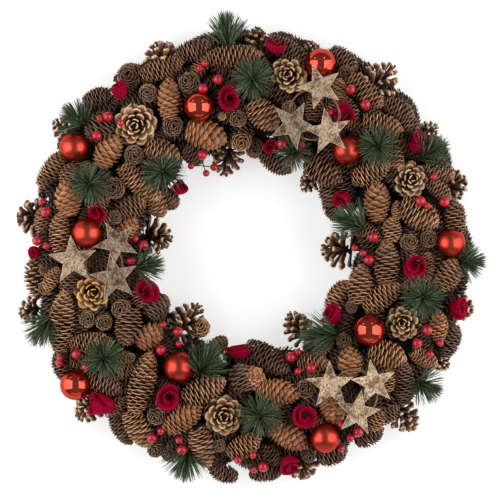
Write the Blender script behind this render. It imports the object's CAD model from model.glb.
"""The looks of a christmas wreath: cones, baubles, birch stars, wood roses, berries and needles.

Places and sizes are in millimetres from the middle of the wreath's hole, x to the right, y to the
wreath's top and z out of its front, and angles are in degrees. Each finished mesh is scaled to
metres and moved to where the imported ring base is.
"""

import math
from collections import namedtuple

import bpy
import numpy as np
from mathutils import Matrix, Vector, noise


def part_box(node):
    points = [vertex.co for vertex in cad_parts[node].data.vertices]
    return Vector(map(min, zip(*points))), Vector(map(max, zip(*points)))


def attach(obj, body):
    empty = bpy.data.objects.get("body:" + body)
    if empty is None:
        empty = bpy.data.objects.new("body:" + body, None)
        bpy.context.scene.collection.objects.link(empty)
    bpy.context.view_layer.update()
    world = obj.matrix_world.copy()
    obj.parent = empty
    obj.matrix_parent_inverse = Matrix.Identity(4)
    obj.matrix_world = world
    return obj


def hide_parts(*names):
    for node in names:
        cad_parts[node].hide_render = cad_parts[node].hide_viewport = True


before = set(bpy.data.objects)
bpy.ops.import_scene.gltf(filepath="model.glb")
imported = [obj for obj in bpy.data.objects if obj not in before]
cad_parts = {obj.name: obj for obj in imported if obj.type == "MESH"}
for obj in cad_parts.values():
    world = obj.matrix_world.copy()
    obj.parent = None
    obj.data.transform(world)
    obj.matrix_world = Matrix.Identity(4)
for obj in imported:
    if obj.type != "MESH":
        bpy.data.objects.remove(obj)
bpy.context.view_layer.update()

MM = 0.001
GOLDEN_ANGLE = math.pi * (3 - math.sqrt(5))

# The bed that the cones lie on: an arch over the ring base
RING_RADIUS = 163.0
BED_FOOT = 12.0
BED_RISE = 46.0
BED_HALF_WIDTH = 76.0
BED_EDGE = 0.93
BED_STEEPEST = 0.75
BED_THICKNESS = 17.0
# A piece that stands on the bed tilts by this share of the bed's slope
STANDING_TILT = 0.6
SECTORS = 8

# The photograph is a square of this many millimetres at the height of the wreath's face
PHOTO_WIDTH = 500.0
PHOTO_HEIGHT_Z = 60.0
CAMERA_HEIGHT = 4.0
SENSOR = 36.0

Cone = namedtuple("Cone", "x y length width heading lift kind")
Tip = namedtuple("Tip", "x y width lift kind")
Bauble = namedtuple("Bauble", "node x y width lift finish")
Star = namedtuple("Star", "x y radius turn height grain tone")
Loop = namedtuple("Loop", "x y radius")
Rose = namedtuple("Rose", "x y width height heading lean lift form")
Spray = namedtuple("Spray", "x y reach heading pitch spread lift")
Berry = namedtuple("Berry", "x y width")
Palette = namedtuple("Palette", "gap body edge")
Habit = namedtuple("Habit", "row breadth length thick bend leans wobble profile template palette")

PALETTES = {
    "tan": Palette((0.012, 0.005, 0.003), (0.160, 0.062, 0.026), (0.860, 0.460, 0.230)),
    "dark": Palette((0.006, 0.003, 0.002), (0.060, 0.026, 0.016), (0.460, 0.255, 0.160)),
    "brown": Palette((0.009, 0.004, 0.003), (0.105, 0.042, 0.020), (0.660, 0.340, 0.180)),
    "orange": Palette((0.020, 0.007, 0.003), (0.280, 0.106, 0.042), (0.820, 0.390, 0.185)),
    "pine": Palette((0.016, 0.007, 0.004), (0.230, 0.090, 0.036), (0.940, 0.640, 0.350)),
    "side_pine": Palette((0.020, 0.008, 0.006), (0.110, 0.045, 0.030), (0.740, 0.490, 0.270)),
    "golden": Palette((0.024, 0.009, 0.004), (0.330, 0.140, 0.042), (0.860, 0.500, 0.200)),
    "grey": Palette((0.006, 0.003, 0.002), (0.095, 0.046, 0.027), (0.520, 0.310, 0.195)),
    "filler": Palette((0.008, 0.004, 0.003), (0.050, 0.023, 0.014), (0.280, 0.148, 0.088)),
}

CONES = [Cone(*row) for row in [
    (-15, 194, 58, 24, 5, 1, "tan"),
    (14, 135, 40, 29, -45, 1, "tan"),
    (40, 199, 50, 22, -30, -1, "dark"),
    (95, 191, 34, 22, -40, -3, "dark"),
    (89, 162, 22, 16, 90, 3, "tan"),
    (116, 158, 48, 24, -40, 1, "brown"),
    (65, 147, 36, 20, 80, -3, "brown"),
    (150, 140, 36, 22, -30, -2, "dark"),
    (161, 124, 22, 20, -50, -2, "dark"),
    (133, 125, 44, 24, -15, 0, "tan"),
    (144, 92, 26, 22, -60, -2, "tan"),
    (122, 78, 42, 24, 25, 2, "tan"),
    (190, 80, 36, 24, -30, 0, "brown"),
    (190, 60, 28, 18, -35, 2, "brown"),
    (127, 50, 42, 27, 90, 1, "orange"),
    (147, 40, 20, 12, 90, 1, "tan"),
    (170, 35, 45, 30, -30, 2, "tan"),
    (206, 33, 36, 24, 90, -1, "brown"),
    (75, 79, 42, 30, -30, 0, "brown"),
    (80, 56, 30, 22, -70, -3, "dark"),
    (84, 40, 30, 20, -60, -3, "dark"),
    (27, 87, 36, 22, -30, -2, "dark"),
    (142, 21, 26, 20, 90, 1, "tan"),
    (137, -12, 45, 27, 90, 2, "brown"),
    (111, -34, 42, 28, 85, 1, "tan"),
    (89, -46, 38, 24, 60, -1, "tan"),
    (133, -46, 45, 24, 35, 0, "tan"),
    (198, -24, 36, 26, 60, 1, "tan"),
    (189, -75, 32, 20, 90, 2, "orange"),
    (202, -90, 36, 22, 70, -1, "dark"),
    (100, -111, 32, 26, 90, 2, "orange"),
    (138, -105, 40, 28, -15, 0, "tan"),
    (175, -109, 34, 18, -30, 1, "tan"),
    (155, -132, 46, 20, 90, 0, "dark"),
    (138, -129, 26, 18, 90, -3, "tan"),
    (64, -113, 32, 22, 0, -1, "tan"),
    (19, -109, 54, 26, -33, -1, "dark"),
    (-8, -128, 32, 28, 110, -1, "dark"),
    (30, -142, 44, 26, -10, 2, "orange"),
    (83, -161, 32, 24, -60, 1, "orange"),
    (40, -187, 44, 26, -30, 1, "orange"),
    (-5, -196, 38, 24, 30, 0, "tan"),
    (84, -205, 32, 24, 20, -2, "dark"),
    (121, -186, 32, 22, 30, -2, "dark"),
    (128, -170, 24, 18, 60, 0, "tan"),
    (139, -164, 28, 20, 40, -3, "dark"),
    (17, -224, 34, 20, 5, -2, "dark"),
    (-28, -224, 32, 20, 160, -2, "dark"),
    (-48, -198, 46, 26, -75, 1, "tan"),
    (-66, -168, 44, 26, 35, 1, "orange"),
    (-45, -139, 48, 28, 25, 1, "tan"),
    (-32, -96, 28, 18, 45, -1, "dark"),
    (-111, -180, 46, 26, -60, 1, "tan"),
    (-128, -182, 36, 20, -55, -2, "dark"),
    (-107, -131, 65, 27, 75, 2, "tan"),
    (-145, -134, 40, 24, -20, -2, "brown"),
    (-189, -114, 32, 22, 100, -2, "dark"),
    (-158, -92, 44, 20, 5, 0, "tan"),
    (-188, -70, 64, 27, 85, 1, "tan"),
    (-100, -86, 32, 26, 45, 0, "orange"),
    (-122, -78, 40, 28, -100, 0, "brown"),
    (-93, -57, 34, 25, 50, 0, "dark"),
    (-198, -28, 28, 16, 60, 0, "tan"),
    (-181, -30, 28, 20, 80, -3, "dark"),
    (-190, 18, 42, 23, 90, 2, "tan"),
    (-208, 30, 28, 18, 90, -1, "brown"),
    (-122, 23, 28, 20, 60, -2, "orange"),
    (-182, 53, 38, 28, 95, 2, "orange"),
    (-198, 82, 46, 22, 55, -1, "tan"),
    (-181, 76, 24, 20, 70, -2, "brown"),
    (-117, 44, 30, 24, 30, 0, "brown"),
    (-94, 46, 34, 22, -60, -1, "tan"),
    (-82, 51, 28, 22, -40, -3, "dark"),
    (-109, 66, 58, 24, -42, 1, "tan"),
    (-87, 98, 38, 25, -20, 1, "tan"),
    (-151, 122, 34, 30, 225, -2, "dark"),
    (-141, 100, 38, 27, 60, 0, "orange"),
    (-152, 154, 32, 20, 20, -1, "dark"),
    (-81, 152, 44, 24, 90, 1, "orange"),
    (-87, 182, 46, 23, 20, 0, "brown"),
    (-56, 201, 38, 23, 18, -1, "dark"),
    (-43, 115, 44, 31, -15, 1, "orange"),
    (-216, -26, 42, 24, 95, -4, "open"),
    (-57, 95, 28, 20, -35, -5, "dark"),
]]

# Small cones seen on their tips
TIP_CONES = [Tip(*row) for row in [
    (-120, 175, 27, -2, "dark"),
    (-9, 110, 22, 1, "tan"),
    (5, 102, 20, -8, "dark"),
    (-61, 167, 22, 4, "grey"),
    (-102, 157, 19, 4, "grey"),
    (-134, 161, 12, 2, "grey"),
    (-77, 124, 21, 3, "grey"),
    (-116, 95, 20, 4, "grey"),
    (-136, 62, 22, 3, "grey"),
    (-135, 33, 15, 4, "grey"),
    (-12, 132, 18, 3, "grey"),
    (-28, 134, 9, 6, "tan"),
    (39, 143, 14, 2, "grey"),
    (96, 177, 18, 1, "dark"),
    (159, 8, 18, 4, "grey"),
    (179, 11, 18, 4, "grey"),
    (137, 6, 12, 5, "orange"),
    (102, -57, 13, 4, "grey"),
    (94, -91, 16, 3, "grey"),
    (56, -139, 20, 4, "grey"),
    (59, -206, 16, 2, "grey"),
    (-205, -20, 14, 2, "grey"),
    (-205, -38, 15, 2, "grey"),
    (-163, -69, 18, 2, "grey"),
    (-146, -72, 17, 3, "grey"),
    (-129, -59, 20, 3, "grey"),
    (-94, -166, 19, 4, "grey"),
    (-95, -200, 18, 3, "grey"),
    (-81, -205, 17, 1, "grey"),
    (-31, -196, 14, 2, "grey"),
    (-120, -108, 11, 5, "grey"),
    (-50, -78, 20, -2, "tan"),
]]

# Open pine cones that face the front
PINE_ROSETTES = [Tip(*row) for row in [
    (-115, 125, 45, 4, "pine"),
    (38, 175, 40, 3, "pine"),
    (161, 71, 38, 4, "pine"),
    (153, -73, 37, 2, "pine"),
    (-26, -166, 42, 4, "pine"),
    (-157, -43, 40, 3, "golden"),
    (4, -127, 25, 9, "flower"),
]]

# Open pine cones on their sides
PINE_CONES = [Cone(*row) for row in [
    (-90, 196, 34, 40, 110, -9, "side_pine"),
    (7, 214, 26, 24, 90, -6, "side_pine"),
    (61, 204, 14, 14, 70, -2, "side_pine"),
    (132, 172, 46, 42, 48, -6, "side_pine"),
    (181, 121, 22, 22, 35, -6, "side_pine"),
    (207, 67, 28, 36, 15, -9, "side_pine"),
    (216, -59, 22, 28, -15, -8, "side_pine"),
    (194, -114, 20, 20, -32, -6, "side_pine"),
    (157, -170, 38, 34, -47, -8, "side_pine"),
    (53, -219, 28, 38, -76, -7, "side_pine"),
    (-164, -161, 36, 32, 225, -8, "side_pine"),
    (-223, -62, 24, 30, 195, -8, "side_pine"),
    (-223, 34, 26, 38, 172, -8, "side_pine"),
    (-188, 123, 32, 28, 146, -8, "side_pine"),
    (-24, 88, 34, 33, 255, -10, "side_pine"),
    (60, 68, 28, 24, 230, -10, "side_pine"),
    (86, 0, 34, 40, 180, -10, "side_pine"),
    (47, -76, 38, 32, 120, -10, "side_pine"),
    (-61, -68, 42, 36, 48, -9, "side_pine"),
    (-92, 13, 34, 38, -8, -11, "side_pine"),
]]

BERRY_PICKS = [[Berry(*row) for row in pick] for pick in [
    [(-150, 131, 7), (-142, 133, 10), (-153, 114, 10), (-129, 127, 7)],
    [(-45, 186, 7), (-50, 181, 7), (-32, 170, 10), (-47, 161, 10)],
    [(-48, 95, 10), (-59, 84, 7), (-44, 77, 7), (-36, 83, 8)],
    [(-208, 48, 7), (-204, 38, 10), (-213, 9, 10), (-203, 4, 7)],
    [(-125, 8, 7), (-115, 11, 7), (-107, 5, 10), (-120, -11, 7), (-117, -11, 7)],
    [(100, 160, 10), (115, 145, 10), (79, 137, 7)],
    [(32, 106, 10), (52, 105, 7), (49, 94, 7), (39, 89, 10)],
    [(183, 73, 7), (170, 49, 10), (177, 44, 7), (194, 48, 10)],
    [(123, 13, 10), (105, 2, 7), (113, -3, 7), (119, -10, 10)],
    [(177, -80, 10), (167, -93, 10), (190, -93, 7), (180, -104, 7)],
    [(41, -107, 10), (48, -102, 7), (61, -118, 10), (48, -121, 7)],
    [(91, -174, 7), (108, -182, 10), (100, -188, 8), (91, -199, 7)],
    [(3, -205, 7), (13, -217, 10), (4, -220, 7), (-12, -210, 8)],
    [(-190, -108, 7), (-191, -113, 8), (-173, -104, 10), (-164, -117, 8)],
    [(-87, -75, 7), (-72, -82, 10), (-71, -94, 7), (-89, -100, 10)],
    [(-89, -181, 7), (-98, -188, 10), (-71, -190, 7), (-68, -200, 10)],
]]

BAUBLES = [Bauble(*row) for row in [
    ("bauble_01", -51, 143, 30, 12, "shiny"),
    ("bauble_02", 71, 186, 31, 10, "shiny"),
    ("bauble_03", 97, 100, 30, 8, "matte"),
    ("bauble_04", 201, 7, 29, 8, "matte"),
    ("bauble_05", 119, -80, 32, 12, "shiny"),
    ("bauble_06", 75, -188, 30, 12, "matte"),
    ("bauble_07", -71, -117, 31, 13, "matte"),
    ("bauble_08", -175, -135, 31, 12, "shiny"),
    ("bauble_09", -163, 17, 30, 11, "matte"),
    ("bauble_10", -176, 103, 29, 12, "matte"),
]]

STAR_TRIOS = [
    [
        Star(69.6, 162.2, 23.5, 37, 83, 20, 0.74),
        Star(43, 124.4, 25, 63.4, 81, 75, 0.50),
        Star(77.8, 117.6, 24.3, 27.6, 82, 40, 0.86),
    ],
    [
        Star(-176.5, -10, 25, 23, 75, 30, 0.76),
        Star(-133, 7, 23, 46, 75, 60, 0.50),
        Star(-135, -27.6, 24.8, 28.9, 77, 100, 0.48),
    ],
    [
        Star(79.8, -134.8, 24.8, 19.8, 75, 50, 0.94),
        Star(123.2, -132.2, 23.6, 27, 76, 15, 1.08),
        Star(107.4, -162.2, 23.4, 8.7, 77, 80, 0.88),
    ],
]
STAR_LOOPS = [Loop(63.5, 134.7, 24.5), Loop(-146, -13, 18.0), Loop(103.5, -143, 23.0)]
STAR_THICKNESS = 2.5
STAR_BEVEL = 0.6
STAR_WAIST = 0.42

# A funnel opens evenly, and a bowl has a rounded wall that shows where it leans over
ROSES = [Rose(*row) for row in [
    (-128, 153, 19, 15, 100, 55, 4, "bowl"),
    (-22, 151, 28, 13, 0, 10, 4, "funnel"),
    (26, 198, 27, 12, 80, 55, 3, "bowl"),
    (96, 133, 26, 13, 120, 12, 0, "funnel"),
    (-151, 41, 22, 12, 235, 30, 3, "funnel"),
    (-212, -3, 14, 9, 180, 25, -3, "bowl"),
    (-70, 69, 18, 11, 240, 30, 3, "funnel"),
    (20, 106, 18, 11, 0, 10, 3, "funnel"),
    (164, 101, 24, 17, 60, 48, 3, "bowl"),
    (98, 54, 20, 13, 215, 35, 2, "bowl"),
    (168, -13, 28, 14, 215, 22, 4, "funnel"),
    (-108, -43, 28, 13, 0, 8, 4, "funnel"),
    (202, -57, 26, 13, 0, 50, 2, "bowl"),
    (87, -70, 25, 14, 130, 42, 3, "bowl"),
    (-10, -107, 32, 10, 100, 54, 1, "bowl"),
    (-83, -146, 29, 14, 315, 15, 5, "funnel"),
    (-137, -157, 26, 24, 158, 66, 3, "bowl"),
    (54, -165, 28, 13, 0, 8, 5, "funnel"),
    (37, -210, 25, 13, 300, 40, 2, "bowl"),
]]

# Pitch 90 faces the front, and a low pitch fans out along the heading
SPRAYS = [Spray(*row) for row in [
    (-22, 205, 34, 95, 12, 42, 4),
    (3, 170, 26, 0, 90, 80, 14),
    (-167, 127, 27, 140, 25, 52, 10),
    (-160, 66, 26, 0, 90, 80, 14),
    (-87, 78, 26, 0, 90, 80, 14),
    (128, 103, 26, 0, 90, 80, 14),
    (174, 92, 30, 40, 25, 50, 10),
    (43, 98, 22, 0, 90, 78, 11),
    (112, 22, 34, 150, 22, 42, 12),
    (172, -47, 27, 0, 90, 80, 14),
    (213, -12, 24, 0, 20, 58, 6),
    (-112, -18, 28, 12, 25, 40, 12),
    (-200, -68, 32, 235, 20, 42, 8),
    (-146, -108, 26, 0, 90, 80, 14),
    (-50, -121, 34, 60, 28, 55, 12),
    (10, -165, 27, 0, 90, 80, 14),
    (-62, -202, 31, 255, 18, 42, 6),
    (85, -85, 36, 182, 20, 38, 10),
    (170, -133, 26, -30, 28, 58, 9),
]]


def bed_height(radius):
    across = max(-BED_EDGE, min(BED_EDGE, (radius - RING_RADIUS) / BED_HALF_WIDTH))
    return BED_FOOT + BED_RISE * math.sqrt(1 - across * across)


def bed_slope(radius):
    across = max(-BED_EDGE, min(BED_EDGE, (radius - RING_RADIUS) / BED_HALF_WIDTH))
    slope = -BED_RISE * across / (BED_HALF_WIDTH * math.sqrt(1 - across * across))
    return max(-BED_STEEPEST, min(BED_STEEPEST, slope))


def bed_point(x, y, lift):
    return Vector((x, y, bed_height(math.hypot(x, y)) + lift))


def on_circle(radius, bearing):
    return radius * math.cos(math.radians(bearing)), radius * math.sin(math.radians(bearing))


def along(axis):
    return axis.to_track_quat("Z", "Y").to_matrix().to_4x4()


def heading_vector(heading):
    return Vector((*on_circle(1, heading), 0))


def lying_frame(x, y, heading, lift):
    """A frame on the bed with +Z along the heading, tilted as the bed is."""
    radius = math.hypot(x, y)
    direction = heading_vector(heading)
    direction.z = bed_slope(radius) * Vector((x, y, 0)).dot(direction) / radius
    return Matrix.Translation(bed_point(x, y, lift)) @ along(direction)


def standing_frame(x, y, lift, heading=0.0, lean=0.0):
    """A frame on the bed with +Z out of it, then leaned towards the heading."""
    radius = math.hypot(x, y)
    axis = Vector((0, 0, 1)) - Vector((x, y, 0)) / radius * STANDING_TILT * bed_slope(radius)
    axis.normalize()
    lean_axis = heading_vector(heading + 90)
    axis.rotate(Matrix.Rotation(math.radians(lean), 3, lean_axis))
    return Matrix.Translation(bed_point(x, y, lift)) @ along(axis)


def sector_of(x, y):
    return int(math.degrees(math.atan2(y, x)) % 360 // (360 / SECTORS))


low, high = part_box("ring_base")
PLACE = Vector(((low.x + high.x) / 2, (low.y + high.y) / 2, 0))


def link_mesh(name, points, faces, material, smooth=True):
    """A mesh object from points in millimetres, riding on the body of the wreath."""
    mesh = bpy.data.meshes.new(name)
    placed = np.asarray(points, float) * MM + np.array(PLACE)
    mesh.from_pydata(placed.tolist(), [], [list(face) for face in faces])
    mesh.polygons.foreach_set("use_smooth", [smooth] * len(mesh.polygons))
    mesh.materials.append(material)
    mesh.update()
    item = bpy.data.objects.new(name, mesh)
    bpy.context.scene.collection.objects.link(item)
    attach(item, "root")
    return item


def set_tint(item, colours):
    """Gives each point of the mesh a colour (n, 3), which its material reads."""
    values = np.ones((len(colours), 4))
    values[:, :3] = colours
    layer = item.data.color_attributes.new("tint", "FLOAT_COLOR", "POINT")
    layer.data.foreach_set("color", values.ravel())


def set_uv(item, name, uv):
    """Gives each point of the mesh a place in millimetres on its flat pattern."""
    layer = item.data.uv_layers.new(name=name)
    corners = np.zeros(len(item.data.loops), int)
    item.data.loops.foreach_get("vertex_index", corners)
    layer.data.foreach_set("uv", (np.asarray(uv, float)[corners] * MM).ravel())


class Batch:
    """Points in millimetres, faces and a colour for each point, gathered into one mesh."""

    def __init__(self):
        self.points = []
        self.faces = []
        self.colours = []
        self.count = 0

    def add(self, points, faces, colours):
        """Adds points (n, 3), lists of faces, and one colour for all points or one for each."""
        points = np.asarray(points, float).reshape(-1, 3)
        self.points.append(points)
        self.colours.append(np.broadcast_to(np.asarray(colours, float), points.shape))
        self.faces.extend([[corner + self.count for corner in face] for face in faces])
        self.count += len(points)

    def add_many(self, points, faces, colours):
        """Adds m copies of one pattern: points (m, n, 3), faces (f, 4), colours (m, n, 3)."""
        many, size = points.shape[:2]
        starts = self.count + np.arange(many) * size
        self.points.append(points.reshape(-1, 3))
        self.colours.append(colours.reshape(-1, 3))
        for pattern in faces:
            copies = starts[:, None, None] + pattern[None]
            self.faces.extend(copies.reshape(-1, pattern.shape[1]).tolist())
        self.count += many * size

    def to_object(self, name, material, smooth=True):
        item = link_mesh(name, np.concatenate(self.points), self.faces, material, smooth)
        set_tint(item, np.concatenate(self.colours))
        return item


def belt_faces(rows, around, start=0):
    """Quads that join each ring of points to the next ring above it."""
    faces = []
    for row in range(start, start + (rows - 1) * around, around):
        for side in range(around):
            after = (side + 1) % around
            faces.append((row + side, row + after, row + around + after, row + around + side))
    return faces


def hoop_faces(around, columns):
    """Quads of a closed section of points that is carried once round the wreath."""
    faces = []
    for step in range(around):
        after = (step + 1) % around
        for column in range(columns):
            right = (column + 1) % columns
            faces.append((step * columns + column, after * columns + column, after * columns + right,
                          step * columns + right))
    return faces


def spin(around, outline):
    """A closed shape round z from (radius, height) pairs, of which the first and last are poles."""
    points = [(0, 0, outline[0][1])]
    for radius, height in outline[1:-1]:
        for column in range(around):
            angle = math.tau * column / around
            points.append((radius * math.cos(angle), radius * math.sin(angle), height))
    points.append((0, 0, outline[-1][1]))
    last = len(points) - 1
    faces = belt_faces(len(outline) - 2, around, 1)
    for column in range(around):
        after = (column + 1) % around
        faces.append((0, 1 + after, 1 + column))
        faces.append((last, last - around + column, last - around + after))
    return np.array(points, float), faces


def wedge_faces(rows, columns):
    """Quads round a closed wedge, whose points are laid out row by row."""
    faces = []
    for row in range(rows):
        after = (row + 1) % rows
        for column in range(columns - 1):
            faces.append((row * columns + column, row * columns + column + 1,
                          after * columns + column + 1, after * columns + column))
    return faces


def scale_template(across, rows):
    """A scale as a closed wedge, x across from -1 to 1, y from the root at -1 to the lip at 0.

    Each row is (how far along, half width, roundness, side, light): side is 0 for the outer
    face and 1 for the inner one, and light runs from the colour of the gaps to the lip's.
    """
    points = []
    light = []
    for way, half, round_off, side, tone in rows:
        for column in range(across):
            u = 2 * column / (across - 1) - 1
            points.append((u * half, way - 1 - round_off * u * u, -side))
            light.append(tone)
    count = len(rows)
    bands = np.array(wedge_faces(count, across))
    ends = [[row * across for row in range(count)],
            [row * across + across - 1 for row in reversed(range(count))]]
    return np.array(points, float), [bands, np.array(ends)], np.array(light, float)


CLOSED_SCALE = scale_template(5, [
    (0.00, 0.50, 0.00, 0.0, 0.00),
    (0.76, 0.97, 0.10, 0.0, 0.26),
    (1.00, 0.84, 0.25, 0.0, 0.90),
    (0.98, 0.83, 0.25, 1.0, 1.00),
    (0.82, 0.84, 0.16, 1.0, 0.16),
])
ROUND_SCALE = scale_template(5, [
    (0.00, 0.50, 0.00, 0.0, 0.00),
    (0.62, 0.95, 0.10, 0.0, 0.46),
    (1.00, 0.72, 0.30, 0.0, 0.80),
    (0.97, 0.71, 0.30, 1.0, 1.00),
    (0.80, 0.80, 0.20, 1.0, 0.20),
])
PLAIN_SCALE = scale_template(4, [
    (0.00, 0.55, 0.00, 0.0, 0.00),
    (0.76, 0.95, 0.08, 0.0, 0.26),
    (1.00, 0.86, 0.22, 0.0, 0.90),
    (0.96, 0.85, 0.22, 1.0, 0.90),
])
PADDLE_SCALE = scale_template(7, [
    (0.00, 0.30, 0.00, 0.0, 0.05),
    (0.66, 0.84, 0.04, 0.0, 0.34),
    (0.90, 1.00, 0.12, 0.0, 0.58),
    (1.00, 0.80, 0.16, 0.2, 0.95),
    (0.98, 0.78, 0.16, 0.9, 1.00),
    (0.84, 0.82, 0.14, 1.0, 0.62),
    (0.50, 0.60, 0.04, 0.8, 0.36),
])
FINGER_SCALE = scale_template(4, [
    (0.00, 0.55, 0.00, 0.0, 0.05),
    (0.74, 0.62, 0.00, 0.0, 0.36),
    (0.93, 1.10, 0.02, -0.3, 0.52),
    (1.00, 0.95, 0.03, 0.1, 1.00),
    (1.00, 0.95, 0.03, 0.9, 1.00),
    (0.90, 0.90, 0.02, 1.2, 0.60),
])


def closed_profile(t):
    """The radius of a slim cone as a share of its largest one, from its base at 0 to its tip at 1."""
    closing = 1 - 0.6 * np.clip((t - 0.8) / 0.2, 0, 1) ** 2
    return np.sin(np.pi * (0.1 + 0.885 * t)) ** 0.55 * closing


def open_profile(t):
    """The same for an open pine cone, which is widest near its base."""
    return np.sin(np.pi * (0.30 + 0.69 * t)) ** 0.8


# How each kind of cone grows: the space between rows in mm, a scale's breadth and length as
# shares of the cone's width, its thickness in mm, how round it bends about the cone, its lean
# at the base, middle and tip, and how far single scales stray from that lean
HABITS = {
    "tan": Habit(4.4, 0.49, 0.38, 0.8, 0.3, (78, 44, -12), 3, closed_profile, CLOSED_SCALE, "tan"),
    "dark": Habit(4.0, 0.51, 0.40, 0.7, 0.3, (72, 50, -12), 3, closed_profile, CLOSED_SCALE, "dark"),
    "brown": Habit(4.3, 0.49, 0.38, 0.8, 0.3, (72, 48, -12), 3, closed_profile, CLOSED_SCALE, "brown"),
    "orange": Habit(4.8, 0.50, 0.42, 1.0, 0.3, (74, 36, -14), 3, closed_profile, ROUND_SCALE, "orange"),
    "grey": Habit(4.5, 0.44, 0.42, 0.7, 0.6, (84, 46, -30), 5, closed_profile, CLOSED_SCALE, "grey"),
    "filler": Habit(5.0, 0.50, 0.40, 0.8, 0.3, (64, 40, 0), 3, closed_profile, PLAIN_SCALE, "filler"),
    "open": Habit(7.6, 0.38, 0.50, 1.6, 0.3, (92, 64, 20), 6, closed_profile, PADDLE_SCALE, "brown"),
    "flower": Habit(8.0, 0.30, 0.50, 1.2, 0.2, (100, 86, 40), 4, open_profile, PADDLE_SCALE, "orange"),
    "pine": Habit(10.4, 0.29, 0.40, 2.1, 0.3, (100, 64, -4), 10, open_profile, PADDLE_SCALE, "pine"),
    "golden": Habit(10.8, 0.32, 0.40, 2.2, 0.3, (100, 64, -4), 10, open_profile, PADDLE_SCALE, "golden"),
    "side_pine": Habit(24.0, 0.13, 0.66, 2.4, 0.3, (96, 62, 16), 12, open_profile, FINGER_SCALE,
                       "side_pine"),
}

# A cone's core: its width as a share of the cone's, for some kinds and for the others, then its
# length and how far it sits towards the base, as shares of the cone's length
CORE_SHARES = {"pine": 0.36, "golden": 0.36, "flower": 0.36, "side_pine": 0.26}
CORE_SHARE = 0.56
CORE_LENGTH = 0.72
CORE_SINK = 0.06
CORE_SIDES = 10
CORE_ROWS = 7
# A scale at the tip is this share of the largest ones
SMALLEST_SCALE = 0.36
# The space between rows is given for a cone of this width
USUAL_WIDTH = 24
# The part of a scale's breadth times its row that it has for itself on the cone
PACKING = 0.76
# Scales turn a little about the cone, and their lips curl outwards by this share of their length
STRAY_TURN = 0.05
LIP_CURL = 0.10
# Cones, and scales within a cone, differ this much in shade, and scales in size too
CONE_SHADES = (0.88, 1.12)
SCALE_SHADES = (0.82, 1.18)
SCALE_LIGHTS = (0.8, 1.12)
SCALE_SIZES = (0.92, 1.08)
# The tips of closed cones are this much lighter, from this share of their length on
TIP_GLOW = 0.42
TIP_START = 0.78


def shade(palette, light):
    """The colour at each light value, from the gap's through the body's to the edge's."""
    gap, body, edge = (np.array(colour) for colour in palette)
    light = np.clip(light, 0, 1)[..., None]
    lower = gap + (body - gap) * np.clip(light * 2, 0, 1)
    return lower + (edge - lower) * np.clip(light * 2 - 1, 0, 1)


def add_core(batch, matrix, length, width, profile, colour):
    """The dark body inside a cone, which the scales grow from."""
    steps = np.linspace(0, 1, CORE_ROWS + 1)
    outline = [(width / 2 * float(profile(t)), length * (t - 0.5)) for t in steps]
    points, faces = spin(CORE_SIDES, outline)
    batch.add([matrix @ Vector(point) for point in points], faces, colour)


def add_cone(batch, matrix, length, width, kind, rng, hidden_below=-0.5):
    """A cone along the frame's +Z: scales on a spiral of golden angles round a dark core.

    Scales that face down by more than hidden_below lie hidden in the heap, and are left out.
    """
    habit = HABITS[kind]
    palette = PALETTES[habit.palette]
    points, faces, light = habit.template
    breadth = habit.breadth * width
    row = habit.row * (width / USUAL_WIDTH) ** 0.5
    steps = np.linspace(0, 1, 200)
    outline = habit.profile(steps) * width / 2
    middle = (outline[1:] + outline[:-1]) / 2
    area = math.tau * middle * np.hypot(np.diff(outline), length * steps[1])
    share = SMALLEST_SCALE + (1 - SMALLEST_SCALE) * middle / (width / 2)
    gathered = np.concatenate([[0], np.cumsum(area / share ** 2)])
    count = int(gathered[-1] / (PACKING * breadth * row))
    t = np.interp((np.arange(count) + 0.5) / count * gathered[-1], gathered, steps)
    radius = habit.profile(t) * width / 2
    angle = np.arange(count) * GOLDEN_ANGLE + rng.uniform(0, 6)
    lean = np.radians(np.interp(t, (0, 0.5, 1), habit.leans) + rng.normal(0, habit.wobble, count))
    turn = angle + rng.normal(0, STRAY_TURN, count)
    zero = np.zeros(count)
    radial = np.stack([np.cos(turn), np.sin(turn), zero], axis=1)
    tangent = np.stack([-np.sin(turn), np.cos(turn), zero], axis=1)
    axis = np.array([0.0, 0.0, 1.0])
    forward = np.cos(lean)[:, None] * axis + np.sin(lean)[:, None] * radial
    outward = np.cos(lean)[:, None] * radial - np.sin(lean)[:, None] * axis
    lip = radius[:, None] * radial + ((t - 0.5) * length)[:, None] * axis
    size = SMALLEST_SCALE + (1 - SMALLEST_SCALE) * radius / (width / 2)
    size *= rng.uniform(*SCALE_SIZES, count)
    half = breadth / 2 * size
    reach = habit.length * width * size
    local_x = points[None, :, 0] * half[:, None]
    local_y = points[None, :, 1] * reach[:, None]
    bend = habit.bend * half[:, None] * points[None, :, 0] ** 2
    curl = LIP_CURL * reach[:, None] * (1 + points[None, :, 1]) ** 2
    local_z = points[None, :, 2] * habit.thick * size[:, None] - bend + curl
    placed = lip[:, None] + local_x[..., None] * tangent[:, None]
    placed += local_y[..., None] * forward[:, None] + local_z[..., None] * outward[:, None]
    rotation = np.array(matrix.to_3x3())
    placed = placed @ rotation.T + np.array(matrix.translation)
    glow = light[None] * rng.uniform(*SCALE_LIGHTS, count)[:, None]
    if habit.template is CLOSED_SCALE:
        glow += TIP_GLOW * np.clip((t - TIP_START) / (1 - TIP_START), 0, 1)[:, None]
    colours = shade(palette, glow) * rng.uniform(*SCALE_SHADES, (count, 1, 1))
    colours = colours * rng.uniform(*CONE_SHADES)
    seen = (radial @ rotation.T)[:, 2] > hidden_below
    batch.add_many(placed[seen], faces, colours[seen])
    core = matrix @ Matrix.Translation((0, 0, -CORE_SINK * length))
    slim = width * CORE_SHARES.get(kind, CORE_SHARE)
    add_core(batch, core, length * CORE_LENGTH, slim, habit.profile, palette.gap)


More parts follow.
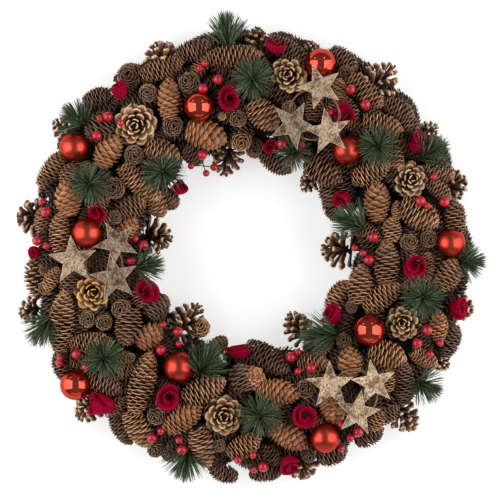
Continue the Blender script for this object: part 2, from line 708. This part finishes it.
# Cones that stand on their bases: how deep they sink, how far they lean, and their length as a
# share of their width
TIP_SINK = 4
TIP_LEAN = 16
TIP_LENGTH = 1.1
ROSETTE_SINK = 2
ROSETTE_LEAN = 6
ROSETTE_LENGTH = 0.62

# Plain cones under the others: the least and most of their lengths and widths
FILLER_LENGTHS = (40, 48)
FILLER_WIDTHS = (21, 25)
FLANK_WIDTHS = (20, 24)
# Rows of them on the bed: radius, number and height over the bed
FILLER_ROWS = [(119, 14, -11), (140, 17, -9), (163, 20, -8), (185, 24, -9), (205, 27, -11)]
# Rows of them at the wreath's two edges: radius, number and height over the ground
FOOT_ROWS = [(213, 30, 13), (115, 17, 13)]
FLANK_ROW = (208, 30, 30)
# Small cones in the widest gaps that are left, and how many places are tried for each of them
GAP_CONES = 84
GAP_TRIES = 400
GAP_LENGTHS = (26, 32)
GAP_WIDTHS = (16, 19)
GAP_LIFTS = (-5, -2)
# Gaps are looked for between these radii, and a small cone takes up this radius itself
GAP_REACH = (120, 206)
GAP_RADIUS = 7


def cone_batches(rng):
    """All the cones of each sector of the wreath, in one batch for each sector."""
    batches = [Batch() for _ in range(SECTORS)]
    for cone in CONES + PINE_CONES:
        matrix = lying_frame(cone.x, cone.y, cone.heading, cone.lift)
        add_cone(batches[sector_of(cone.x, cone.y)], matrix, cone.length, cone.width, cone.kind, rng)
    for tip in TIP_CONES:
        matrix = standing_frame(tip.x, tip.y, tip.lift - TIP_SINK, rng.uniform(0, 360),
                                rng.uniform(0, TIP_LEAN))
        add_cone(batches[sector_of(tip.x, tip.y)], matrix, tip.width * TIP_LENGTH, tip.width, tip.kind, rng)
    for rosette in PINE_ROSETTES:
        matrix = standing_frame(rosette.x, rosette.y, rosette.lift - ROSETTE_SINK, rng.uniform(0, 360),
                                ROSETTE_LEAN)
        add_cone(batches[sector_of(rosette.x, rosette.y)], matrix, rosette.width * ROSETTE_LENGTH,
                 rosette.width, rosette.kind, rng)
    return batches


def add_fillers(batches, rng):
    """Cones under the others, which fill the gaps and the flanks of the wreath."""
    for radius, count, lift in FILLER_ROWS:
        for number in range(count):
            bearing = 360 * (number + rng.uniform(0.2, 0.8)) / count
            x, y = on_circle(radius, bearing)
            matrix = lying_frame(x, y, bearing + 90 + rng.uniform(-40, 40), lift)
            add_cone(batches[sector_of(x, y)], matrix, rng.uniform(*FILLER_LENGTHS),
                     rng.uniform(*FILLER_WIDTHS), "filler", rng, 0)
    for row in FOOT_ROWS:
        add_flank_row(batches, *row, rng)
    fill_gaps(batches, rng)


def add_flank_row(batches, radius, count, height, rng):
    """A row of cones at one height over the ground, lying round the ring."""
    for number in range(count):
        bearing = 360 * (number + rng.uniform(0.3, 0.7)) / count
        x, y = on_circle(radius, bearing)
        heading = bearing + 90 + rng.uniform(-25, 25)
        matrix = Matrix.Translation((x, y, height)) @ along(heading_vector(heading))
        add_cone(batches[sector_of(x, y)], matrix, rng.uniform(*FILLER_LENGTHS),
                 rng.uniform(*FLANK_WIDTHS), "filler", rng)


def fill_gaps(batches, rng):
    """Small cones in the widest gaps, each at the tried place that is farthest from the others."""
    taken = [(piece.x, piece.y, piece.width / 2) for piece in TIP_CONES + PINE_ROSETTES + BAUBLES]
    for cone in CONES + PINE_CONES:
        for step in (-0.3, 0, 0.3):
            place = Vector((cone.x, cone.y, 0)) + heading_vector(cone.heading) * step * cone.length
            taken.append((place.x, place.y, cone.width / 2))
    taken = np.array(taken)
    for _ in range(GAP_CONES):
        radius = rng.uniform(*GAP_REACH, GAP_TRIES)
        bearing = rng.uniform(0, math.tau, GAP_TRIES)
        places = np.stack([radius * np.cos(bearing), radius * np.sin(bearing)], axis=1)
        room = np.linalg.norm(places[:, None] - taken[None, :, :2], axis=2) - taken[None, :, 2]
        x, y = places[np.argmax(room.min(axis=1))]
        taken = np.vstack([taken, (x, y, GAP_RADIUS)])
        matrix = lying_frame(x, y, rng.uniform(0, 360), rng.uniform(*GAP_LIFTS))
        kind = rng.choice(["brown", "filler", "filler"])
        add_cone(batches[sector_of(x, y)], matrix, rng.uniform(*GAP_LENGTHS), rng.uniform(*GAP_WIDTHS),
                 kind, rng, 0)


def new_material(name, **inputs):
    """A material, its nodes and its shader, whose inputs are named with _ for each space."""
    material = bpy.data.materials.new(name)
    material.use_nodes = True
    shader = material.node_tree.nodes["Principled BSDF"]
    for key, value in inputs.items():
        shader.inputs[key.replace("_", " ")].default_value = value
    return material, material.node_tree, shader


def node(tree, kind, **values):
    made = tree.nodes.new(kind)
    for name, value in values.items():
        setattr(made, name, value)
    return made


def noise_node(tree, scale, detail, vector, roughness=0.5):
    made = node(tree, "ShaderNodeTexNoise")
    made.inputs["Scale"].default_value = scale
    made.inputs["Detail"].default_value = detail
    made.inputs["Roughness"].default_value = roughness
    tree.links.new(vector, made.inputs["Vector"])
    return made.outputs["Fac"]


def ramp_node(tree, factor, stops):
    made = node(tree, "ShaderNodeValToRGB")
    tree.links.new(factor, made.inputs["Fac"])
    for element, (place, colour) in zip(made.color_ramp.elements, (stops[0], stops[-1])):
        element.position = place
        element.color = (*colour, 1)
    for place, colour in stops[1:-1]:
        made.color_ramp.elements.new(place).color = (*colour, 1)
    return made.outputs["Color"]


def multiply(tree, first, second):
    mix = node(tree, "ShaderNodeMix", data_type="RGBA", blend_type="MULTIPLY")
    mix.inputs["Factor"].default_value = 1.0
    tree.links.new(first, mix.inputs["A"])
    tree.links.new(second, mix.inputs["B"])
    return mix.outputs["Result"]


def add_bump(tree, shader, height, strength, distance):
    bump = node(tree, "ShaderNodeBump")
    bump.inputs["Strength"].default_value = strength
    bump.inputs["Distance"].default_value = distance
    tree.links.new(height, bump.inputs["Height"])
    tree.links.new(bump.outputs["Normal"], shader.inputs["Normal"])


def object_place(tree):
    return node(tree, "ShaderNodeTexCoord").outputs["Object"]


def stretched_uv(tree, uv_name, stretch):
    """The UV as it is, and drawn out by the given factors."""
    uv = node(tree, "ShaderNodeUVMap", uv_map=uv_name).outputs["UV"]
    mapping = node(tree, "ShaderNodeMapping")
    mapping.inputs["Scale"].default_value = stretch
    tree.links.new(uv, mapping.inputs["Vector"])
    return uv, mapping.outputs["Vector"]


def tinted_material(name, roughness, grain_scale, grain_dark, bump=0.3, specular=0.35):
    """The colour of the mesh's own tint, broken up by a fine grain."""
    material, tree, shader = new_material(name, Roughness=roughness, Specular_IOR_Level=specular)
    tint = node(tree, "ShaderNodeVertexColor", layer_name="tint")
    grain = noise_node(tree, grain_scale, 4.0, object_place(tree))
    shades = ramp_node(tree, grain, [(0.3, (grain_dark,) * 3), (0.7, (2 - grain_dark,) * 3)])
    tree.links.new(multiply(tree, tint.outputs["Color"], shades), shader.inputs["Base Color"])
    add_bump(tree, shader, grain, bump, 0.0004)
    return material


def bauble_material(finish):
    """Silvered glass under a clear red lacquer, which looks deeper where it is seen aslant."""
    roughness, coat_roughness, tint = {"shiny": (0.07, 0.03, (0.66, 0.19, 0.15)),
                                       "matte": (0.33, 0.26, (0.60, 0.15, 0.13))}[finish]
    material, tree, shader = new_material(f"bauble_{finish}", Roughness=roughness, Metallic=0.92,
                                          Coat_Weight=1.0, Coat_Tint=(*tint, 1), Coat_IOR=1.12,
                                          Coat_Roughness=coat_roughness)
    place = object_place(tree)
    cloud = noise_node(tree, 60.0, 2.0, place)
    silver = ramp_node(tree, cloud, [(0.3, (0.90, 0.42, 0.30)), (0.7, (1.0, 0.50, 0.36))])
    tree.links.new(silver, shader.inputs["Base Color"])
    if finish == "matte":
        add_bump(tree, shader, noise_node(tree, 2600.0, 1.0, place), 0.12, 0.0001)
    return material


def berry_material():
    material, tree, shader = new_material("berry_red", Roughness=0.24, Coat_Weight=0.25,
                                          Coat_Roughness=0.08)
    cloud = noise_node(tree, 220.0, 2.0, object_place(tree))
    red = ramp_node(tree, cloud, [(0.3, (0.42, 0.003, 0.014)), (0.7, (0.56, 0.006, 0.024))])
    tree.links.new(red, shader.inputs["Base Color"])
    return material


def rose_material():
    """Dyed wood shaving, with its grain up the strip."""
    material, tree, shader = new_material("rose_wood", Roughness=0.72, Specular_IOR_Level=0.08)
    _, along_grain = stretched_uv(tree, "strip", (1.0, 0.06, 1.0))
    grain = noise_node(tree, 900.0, 3.0, along_grain)
    crimson = ramp_node(tree, grain, [(0.3, (0.24, 0.000, 0.018)), (0.55, (0.36, 0.000, 0.030)),
                                      (0.8, (0.48, 0.002, 0.050))])
    tree.links.new(crimson, shader.inputs["Base Color"])
    add_bump(tree, shader, grain, 0.35, 0.0003)
    return material


def bark_material():
    """Birch bark: pale and mottled, with fine streaks, dark cracks and lighter cut edges."""
    material, tree, shader = new_material("birch_bark", Roughness=0.8, Specular_IOR_Level=0.3)
    white = (1.0, 1.0, 1.0)
    uv, along_grain = stretched_uv(tree, "grain", (0.3, 1.0, 1.0))
    streaks = ramp_node(tree, noise_node(tree, 1100.0, 6.0, along_grain), [
        (0.34, (0.38, 0.25, 0.15)), (0.46, (0.70, 0.50, 0.33)), (0.58, (0.86, 0.64, 0.45)),
        (0.70, (1.0, 0.86, 0.68))])
    cloud = noise_node(tree, 85.0, 9.0, uv, 0.62)
    mottle = ramp_node(tree, cloud, [(0.38, (0.26, 0.22, 0.19)), (0.50, (0.84, 0.80, 0.77)), (0.58, white)])
    cracks = ramp_node(tree, noise_node(tree, 210.0, 5.0, along_grain), [
        (0.0, white), (0.48, white), (0.5, (0.36, 0.30, 0.25)), (0.52, white), (1.0, white)])
    flecks = ramp_node(tree, noise_node(tree, 460.0, 6.0, uv), [(0.36, (0.30, 0.25, 0.20)), (0.48, white)])
    face = node(tree, "ShaderNodeVertexColor", layer_name="tint").outputs["Color"]
    for layer in (streaks, mottle, cracks, flecks):
        face = multiply(tree, face, layer)
    normal = node(tree, "ShaderNodeSeparateXYZ")
    tree.links.new(node(tree, "ShaderNodeNewGeometry").outputs["Normal"], normal.inputs["Vector"])
    upwards = ramp_node(tree, normal.outputs["Z"], [(0.55, (0.0, 0.0, 0.0)), (0.9, white)])
    edges = node(tree, "ShaderNodeMix", data_type="RGBA")
    tree.links.new(upwards, edges.inputs["Factor"])
    edges.inputs["A"].default_value = (0.80, 0.66, 0.48, 1)
    tree.links.new(face, edges.inputs["B"])
    tree.links.new(edges.outputs["Result"], shader.inputs["Base Color"])
    add_bump(tree, shader, cloud, 0.6, 0.0005)
    return material


BAUBLE_SIDES = 48
BAUBLE_ROWS = 32
BERRY_SIDES = 20
BERRY_ROWS = 14
BERRY_RISE = 15.0
PICK_DEPTH = 14.0
WIRE_RADIUS = 0.55
WIRE_BOW = 5
WIRE_POINTS = 7
WIRE_BLACK = (0.02, 0.012, 0.01)


def sphere(around, rows):
    """A unit sphere's points and faces."""
    angles = [math.pi * row / rows for row in range(rows + 1)]
    return spin(around, [(math.sin(angle), -math.cos(angle)) for angle in angles])


def make_bauble(bauble, material):
    centre = np.array(bed_point(bauble.x, bauble.y, bauble.lift))
    points, faces = sphere(BAUBLE_SIDES, BAUBLE_ROWS)
    item = link_mesh(f"{bauble.node}_shell", centre + points * bauble.width / 2, faces, material)
    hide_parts(bauble.node)


def tube(path, radius, sides=5):
    """A closed tube along the path, as points and faces."""
    path = [Vector(point) for point in path]
    points = []
    for number, point in enumerate(path):
        ahead = path[min(number + 1, len(path) - 1)] - path[max(number - 1, 0)]
        turned = ahead.to_track_quat("Z", "Y")
        for side in range(sides):
            points.append(point + turned @ Vector((*on_circle(radius, 360 * side / sides), 0)))
    ends = [list(range(sides))[::-1], list(range(len(points) - sides, len(points)))]
    return points, belt_faces(len(path), sides) + ends


def make_berries(berry_look, wire_look):
    """The berries of each sector, and wires that bow from each pick's root to its berries."""
    berries = [Batch() for _ in range(SECTORS)]
    wires = [Batch() for _ in range(SECTORS)]
    ball, ball_faces = sphere(BERRY_SIDES, BERRY_ROWS)
    for pick in BERRY_PICKS:
        x = sum(berry.x for berry in pick) / len(pick)
        y = sum(berry.y for berry in pick) / len(pick)
        sector = sector_of(x, y)
        root = bed_point(x, y, -PICK_DEPTH)
        for berry in pick:
            centre = bed_point(berry.x, berry.y, BERRY_RISE)
            berries[sector].add(np.array(centre) + ball * berry.width / 2, ball_faces, (1, 1, 1))
            bow = Vector((x, y, centre.z - WIRE_BOW))
            path = [root.lerp(bow, t).lerp(bow.lerp(centre, t), t) for t in np.linspace(0, 1, WIRE_POINTS)]
            wires[sector].add(*tube(path, WIRE_RADIUS), WIRE_BLACK)
    for sector in range(SECTORS):
        if berries[sector].count:
            item = berries[sector].to_object(f"berries_{sector + 1}", berry_look)
            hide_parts(f"cone_bunch_{sector + 1}")
            item = wires[sector].to_object(f"berry_wires_{sector + 1}", wire_look)
            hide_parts(f"cone_bunch_{sector + 1}")


ROSE_TURNS = 1.8
ROSE_STEPS = 66
ROSE_ROWS = 7
ROSE_THICKNESS = 1.0
# The foot's share of the lip's radius, and how the wall bends between them
FORM_FEET = {"funnel": 0.30, "bowl": 0.42}
FORM_BENDS = {"funnel": 1.4, "bowl": 0.55}
# The lip's radius as a share of the rose's at the strip's outer end, how much of it is lost on
# the way in and how that loss bends, and how much the foot's share of it gains
LIP_OUTSIDE = 1.04
LIP_LOSS = 0.82
LIP_BEND = 1.4
FOOT_GAIN = 0.15
# The waves of the lip: their size as a share of the radius or height, and how many in a turn
WAVE_SIZE = 0.05
RADIUS_WAVES = 2.3
HEIGHT_WAVES = 3.1
# The strip's outer end is this much lower, and its inner turns take up this much less of its length
OUTER_DROP = 0.08
INNER_LOSS = 0.4
# The strip's outer end rises from this share of its height over this share of its length
END_HEIGHT = 0.35
END_LENGTH = 0.16


def make_rose(number, rose, material, rng):
    """A flat strip rolled up from its outer end into a cup, with a wavy lip."""
    points = []
    uv = []
    wave = rng.uniform(0, math.tau)
    for side in (0.5, -0.5):
        for step in range(ROSE_STEPS + 1):
            way = step / ROSE_STEPS
            angle = math.tau * ROSE_TURNS * way
            lip = rose.width / 2 * (LIP_OUTSIDE - LIP_LOSS * way ** LIP_BEND)
            lip *= 1 + WAVE_SIZE * (1 - way) * math.sin(RADIUS_WAVES * angle + wave)
            foot = FORM_FEET[rose.form] + FOOT_GAIN * way
            grown = END_HEIGHT + (1 - END_HEIGHT) * math.sin(min(1, way / END_LENGTH) * math.pi / 2)
            ripple = WAVE_SIZE * math.sin(HEIGHT_WAVES * angle + wave)
            tall = rose.height * grown * (1 - OUTER_DROP * (1 - way) + ripple)
            for row in range(ROSE_ROWS):
                up = row / (ROSE_ROWS - 1)
                radius = lip * (foot + (1 - foot) * (up * grown) ** FORM_BENDS[rose.form])
                radius += side * ROSE_THICKNESS
                points.append((radius * math.cos(angle), radius * math.sin(angle), tall * up))
                uv.append((rose.width / 2 * angle * (1 - INNER_LOSS * way), rose.height * up))
    matrix = standing_frame(rose.x, rose.y, rose.lift, rose.heading, rose.lean)
    matrix = matrix @ Matrix.Rotation(rng.uniform(0, math.tau), 4, "Z")
    placed = [matrix @ Vector(point) for point in points]
    item = link_mesh(f"rose_strip_{number:02d}", placed, rolled_faces(ROSE_STEPS, ROSE_ROWS), material)
    set_uv(item, "strip", uv)
    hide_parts(f"rose_{number:02d}")


def rolled_faces(steps, rows):
    """The faces of a thick strip: its outer and inner sheets, its two long edges and its ends."""
    sheet = (steps + 1) * rows
    faces = []
    for bottom in range(0, steps * rows, rows):
        for a in range(bottom, bottom + rows - 1):
            b = a + rows
            faces.append((a, b, b + 1, a + 1))
            faces.append((sheet + a, sheet + a + 1, sheet + b + 1, sheet + b))
        top = bottom + rows - 1
        faces.append((bottom, sheet + bottom, sheet + bottom + rows, bottom + rows))
        faces.append((top, top + rows, sheet + top + rows, sheet + top))
    for start, flip in ((0, 1), (steps * rows, -1)):
        for a in range(start, start + rows - 1):
            faces.append((a, a + 1, sheet + a + 1, sheet + a)[::flip])
    return faces


STAR_BEVEL_HEIGHT = 0.4
# The bevel is wider by this factor at the points of a star than at its waist
POINT_BEVEL = 1.6
RATTAN = (0.26, 0.145, 0.075)
RATTAN_RADIUS = 0.5
# The loop's two turns: how much wider than the loop, and how far under the stars
LOOP_TURNS = ((0.0, 2.2), (1.2, 3.4))
LOOP_POINTS = 64
STEM_RADIUS = 2.0
STEM_DEPTH = 10


def star_outline(star, grow):
    points = []
    for corner in range(10):
        radius = star.radius + grow * POINT_BEVEL
        if corner % 2:
            radius = star.radius * STAR_WAIST + grow
        x, y = on_circle(radius, star.turn + 36 * corner)
        points.append((star.x + x, star.y + y))
    return points


def make_stars(number, trio, bark):
    """Three birch stars with bevelled edges, each with its own tone and direction of grain."""
    points = []
    faces = []
    uv = []
    tones = []
    levels = ((-STAR_BEVEL, 0.0), (0.0, STAR_BEVEL_HEIGHT), (0.0, STAR_THICKNESS - STAR_BEVEL_HEIGHT),
              (-STAR_BEVEL, STAR_THICKNESS))
    for star in trio:
        start = len(points)
        corners = [(x, y, up) for grow, up in levels for x, y in star_outline(star, grow)]
        points += [(x, y, star.height + up) for x, y, up in corners]
        points += [(star.x, star.y, star.height), (star.x, star.y, star.height + STAR_THICKNESS)]
        faces += belt_faces(len(levels), 10, start)
        for ring, centre, flip in ((start, start + 40, -1), (start + 30, start + 41, 1)):
            faces += [(ring + corner, ring + (corner + 1) % 10, centre)[::flip] for corner in range(10)]
        tones += [(star.tone,) * 3] * (len(points) - start)
        grain = math.radians(star.grain)
        for x, y, up in corners + [(star.x, star.y, 0)] * 2:
            uv.append((x * math.cos(grain) + y * math.sin(grain),
                       y * math.cos(grain) - x * math.sin(grain) + up))
    item = link_mesh(f"birch_stars_{number}", points, faces, bark, False)
    set_uv(item, "grain", uv)
    set_tint(item, tones)
    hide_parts(f"star_trio_{number}")


def make_loop(number, trio, loop, rattan, rng):
    """Two turns of thin rattan under the stars, and the stem that they stand on."""
    loops = Batch()
    lowest = min(star.height for star in trio)
    for grow, drop in LOOP_TURNS:
        path = []
        for step in range(LOOP_POINTS + 1):
            angle = math.tau * step / LOOP_POINTS
            radius = loop.radius + grow + 0.5 * math.sin(3 * angle + number + grow)
            path.append((loop.x + radius * math.cos(angle), loop.y + radius * math.sin(angle),
                         lowest - drop + 0.3 * math.sin(2 * angle)))
        loops.add(*tube(path, RATTAN_RADIUS, 6), np.array(RATTAN) * rng.uniform(0.8, 1.2))
    held = trio[1]
    top = Vector((held.x, held.y, held.height + 1))
    loops.add(*tube([bed_point(held.x, held.y, -STEM_DEPTH), top], STEM_RADIUS, 8), RATTAN)
    item = loops.to_object(f"rattan_loop_{number}", rattan)
    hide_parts(f"star_trio_{number}")


TWIG_LENGTH = 8.0
TWIG_RADIUS = 1.1
TWIG_BROWN = (0.16, 0.095, 0.055)
NEEDLE_WIDTH = 0.42
NEEDLE_SAG = 0.04
NEEDLE_GREENS = ((0.026, 0.044, 0.019), (0.062, 0.098, 0.040), (0.150, 0.200, 0.105))
NEEDLE_SHARES = (0.42, 0.38, 0.20)
# A sprig that faces the front like a star, and one that fans out: how many needles it has, how
# they gather at its root, how much wider its lowest ones splay than the spray says, the splay of
# its last ones, how fast the splay narrows between them, and how far behind its middle it starts
Sprig = namedtuple("Sprig", "needles gather extra last narrowing behind")
STAR_SPRIG = Sprig(200, 0.8, 8, 26, 2.2, 2)
FAN_SPRIG = Sprig(170, 1.0, 14, 8, 0.8, 4)
# No needle reaches lower than this over the ground
LOWEST_NEEDLE = 1.5


def add_needles(batch, roots, directions, lengths, colours):
    """Tapered needles of three sides and three joints, which sag a little."""
    directions = directions / np.linalg.norm(directions, axis=1)[:, None]
    helper = np.where(np.abs(directions[:, 2:3]) < 0.9, np.array([[0.0, 0, 1]]), np.array([[1.0, 0, 0]]))
    side = np.cross(directions, helper)
    side /= np.linalg.norm(side, axis=1)[:, None]
    over = np.cross(side, directions)
    rings = []
    for way, thick in ((0.0, 0.8), (0.35, 1.0), (0.7, 0.85), (0.97, 0.35)):
        middle = roots + directions * (lengths * way)[:, None]
        middle[:, 2] -= NEEDLE_SAG * lengths * way ** 2
        for corner in range(3):
            angle = math.tau * corner / 3
            offset = side * math.cos(angle) * 1.25 + over * math.sin(angle) * 0.8
            rings.append(middle + offset * NEEDLE_WIDTH * thick)
    points = np.stack(rings, axis=1)
    caps = [(2, 1, 0), (9, 10, 11)]
    tints = np.repeat(colours[:, None], 12, axis=1)
    tints[:, 9:] *= 1.35
    tints[:, :3] *= 0.7
    batch.add_many(points, [np.array(belt_faces(4, 3)), np.array(caps)], tints)


def make_spray(number, spray, material, rng):
    """A sprig of needles round a twig: a star if it faces the front, or a fan."""
    batch = Batch()
    pitch = math.radians(spray.pitch)
    axis = math.cos(pitch) * heading_vector(spray.heading) + Vector((0, 0, math.sin(pitch)))
    matrix = Matrix.Translation(bed_point(spray.x, spray.y, spray.lift)) @ along(axis)
    rotation = np.array(matrix.to_3x3())
    is_star = spray.pitch == 90
    sprig = STAR_SPRIG if is_star else FAN_SPRIG
    count = sprig.needles
    twig = TWIG_LENGTH if is_star else spray.reach * 0.5
    climb = rng.uniform(0, 1, count) ** sprig.gather
    turn = np.arange(count) * GOLDEN_ANGLE + rng.normal(0, 0.15, count)
    widest = spray.spread + sprig.extra
    splay = widest + (sprig.last - widest) * climb ** sprig.narrowing
    splay = np.radians(splay + rng.normal(0, 4, count))
    local = np.stack([np.sin(splay) * np.cos(turn), np.sin(splay) * np.sin(turn), np.cos(splay)], axis=1)
    roots = np.stack([np.zeros(count), np.zeros(count), climb * twig - sprig.behind], axis=1)
    lengths = spray.reach * rng.uniform(0.78, 1.02, count)
    if not is_star:
        lengths = (spray.reach - roots[:, 2] * 0.75) * rng.uniform(0.85, 1.05, count)
    pick = rng.choice(3, count, p=NEEDLE_SHARES)
    colours = np.array(NEEDLE_GREENS)[pick] * rng.uniform(0.8, 1.2, (count, 1))
    directions = local @ rotation.T
    starts = roots @ rotation.T + np.array(matrix.translation)
    end_height = starts[:, 2] + directions[:, 2] * lengths
    directions[:, 2] += np.clip(LOWEST_NEEDLE - end_height, 0, None) / lengths
    add_needles(batch, starts, directions, lengths, colours)
    outward = Vector((spray.x, spray.y, 0)).normalized()
    foot = bed_point(spray.x, spray.y, -10) - outward * 4
    batch.add(*tube([foot, matrix.translation, matrix @ Vector((0, 0, twig))], TWIG_RADIUS, 7), TWIG_BROWN)
    item = batch.to_object(f"needles_{number:02d}", material)
    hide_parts(f"needle_spray_{number:02d}")


BED_BROWN = (0.016, 0.010, 0.007)
BED_REACH = 46
BED_STEPS = 180
BED_COLUMNS = 24
# Lumps of the fibre above the bed's edges: how far apart they are, and how high
BED_LUMPS = [(7, 2.4), (2.5, 1.1)]
RING_BROWN = (0.17, 0.105, 0.055)
RING_HALF_WIDTH = 30.0
RING_HEIGHT = 40.0
RING_STEPS = 240
# Turns of fibre round the ring, and how deep the grooves between them are
WINDINGS = 40
WINDING_DEPTH = 0.6


def make_bed(material):
    """The dark bed of fibre that shows between the cones, over the ring."""
    section = [(-40, 3), (-BED_REACH, 12)]
    for across in np.linspace(-BED_REACH, BED_REACH, BED_COLUMNS + 1):
        section.append((across, bed_height(RING_RADIUS + across) - BED_THICKNESS))
    section += [(BED_REACH, 12), (40, 3)]
    points = []
    for step in range(BED_STEPS):
        for across, up in section:
            place = Vector((*on_circle(RING_RADIUS + across, 360 * step / BED_STEPS), up))
            if up > 4:
                place.z += sum(noise.noise(place / apart) * high for apart, high in BED_LUMPS)
            points.append(place)
    batch = Batch()
    batch.add(points, hoop_faces(BED_STEPS, len(section)), BED_BROWN)
    item = batch.to_object("bed_fibre", material)
    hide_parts(*[f"cone_bunch_{sector + 1}" for sector in range(SECTORS)])


def make_ring(material):
    """The ring base, with a flat back, wound with flat fibre."""
    outline = [(RING_HALF_WIDTH, 0), (RING_HALF_WIDTH, RING_HEIGHT * 0.4),
               (RING_HALF_WIDTH * 0.8, RING_HEIGHT * 0.78), (RING_HALF_WIDTH * 0.35, RING_HEIGHT)]
    section = outline + [(-across, up) for across, up in reversed(outline)]
    points = []
    colours = []
    for step in range(RING_STEPS):
        bearing = 360 * step / RING_STEPS
        wound = WINDING_DEPTH * abs(math.sin(math.radians(bearing) * WINDINGS))
        for across, up in section:
            x, y = on_circle(RING_RADIUS + across * (1 - 0.02 * wound), bearing)
            points.append((x, y, up - wound if up else up))
            colours.append(np.array(RING_BROWN) * (1.15 - 0.5 * wound))
    batch = Batch()
    batch.add(points, hoop_faces(RING_STEPS, len(section)), colours)
    item = batch.to_object("ring_winding", material, smooth=False)
    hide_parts("ring_base")


FLOOR_REACH = 8.0
FLOOR_WHITE = (1, 1, 1, 1)
FLOOR_GREY = (0.6, 0.6, 0.6, 1)
# Name, place and size in metres, and power in watts
LIGHTS = [
    ("softbox_left", (-1.33, 0.0, 0.9), (1.75, 2.0), 26),
    ("softbox_right", (1.33, 0.0, 0.9), (1.75, 2.0), 26),
    ("fill_low", (0.0, -1.5, 0.45), (1.6, 0.5), 1.6),
    ("spark_left", (-1.0, 1.12, 0.7), (0.2, 0.2), 0.5),
    ("spark_right", (0.58, 1.12, 1.0), (0.2, 0.2), 0.5),
]
LIGHTS_AIM = 0.05
SKY_STRENGTH = 0.2


def area_light(name, place, size, power):
    light = bpy.data.lights.new(name, "AREA")
    light.shape = "RECTANGLE"
    light.size, light.size_y = size
    light.energy = power
    item = bpy.data.objects.new(name, light)
    item.location = place
    aim = Vector((PLACE.x, PLACE.y, LIGHTS_AIM)) - Vector(place)
    item.rotation_euler = aim.to_track_quat("-Z", "Y").to_euler()
    bpy.context.scene.collection.objects.link(item)


def make_studio():
    mesh = bpy.data.meshes.new("floor")
    corners = [(-1, -1), (1, -1), (1, 1), (-1, 1)]
    mesh.from_pydata([(x * FLOOR_REACH, y * FLOOR_REACH, 0) for x, y in corners], [], [(0, 1, 2, 3)])
    floor = bpy.data.objects.new("floor", mesh)
    material, _, _ = new_material("pale_floor", Roughness=0.9, Base_Color=FLOOR_GREY,
                                  Emission_Color=FLOOR_WHITE, Emission_Strength=0.6)
    mesh.materials.append(material)
    bpy.context.scene.collection.objects.link(floor)
    for light in LIGHTS:
        area_light(*light)
    world = bpy.data.worlds.new("studio")
    world.use_nodes = True
    background = world.node_tree.nodes["Background"]
    background.inputs["Color"].default_value = FLOOR_WHITE
    background.inputs["Strength"].default_value = SKY_STRENGTH
    bpy.context.scene.world = world
    bpy.context.scene.view_settings.view_transform = "Standard"


def make_camera():
    camera = bpy.data.objects.new("camera", bpy.data.cameras.new("camera"))
    camera.location = (PLACE.x, PLACE.y, CAMERA_HEIGHT)
    camera.data.sensor_width = SENSOR
    camera.data.lens = SENSOR * (CAMERA_HEIGHT - PHOTO_HEIGHT_Z * MM) / (PHOTO_WIDTH * MM)
    bpy.context.scene.collection.objects.link(camera)
    bpy.context.scene.camera = camera


def main():
    rng = np.random.default_rng(4)
    make_camera()
    make_studio()
    bark_look = bark_material()
    scales_look = tinted_material("cone_scales", 0.62, 700.0, 0.72)
    fibre_look = tinted_material("ring_fibre", 0.9, 400.0, 0.6)
    wire_look = tinted_material("berry_wire", 0.45, 300.0, 0.8)
    rattan_look = tinted_material("rattan", 0.6, 500.0, 0.75)
    needle_look = tinted_material("needle_green", 0.5, 500.0, 0.85, 0.1, 0.4)
    rose_look = rose_material()
    bauble_looks = {finish: bauble_material(finish) for finish in ("shiny", "matte")}

    batches = cone_batches(rng)
    add_fillers(batches, rng)
    add_flank_row(batches, *FLANK_ROW, np.random.default_rng(5))
    for sector, batch in enumerate(batches):
        item = batch.to_object(f"cones_{sector + 1}", scales_look)
        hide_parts(f"cone_bunch_{sector + 1}")
    make_bed(fibre_look)
    make_ring(fibre_look)
    make_berries(berry_material(), wire_look)
    for bauble in BAUBLES:
        make_bauble(bauble, bauble_looks[bauble.finish])
    for number, rose in enumerate(ROSES, 1):
        make_rose(number, rose, rose_look, rng)
    for number, (trio, loop) in enumerate(zip(STAR_TRIOS, STAR_LOOPS), 1):
        make_stars(number, trio, bark_look)
        make_loop(number, trio, loop, rattan_look, rng)
    for number, spray in enumerate(SPRAYS, 1):
        make_spray(number, spray, needle_look, rng)


main()
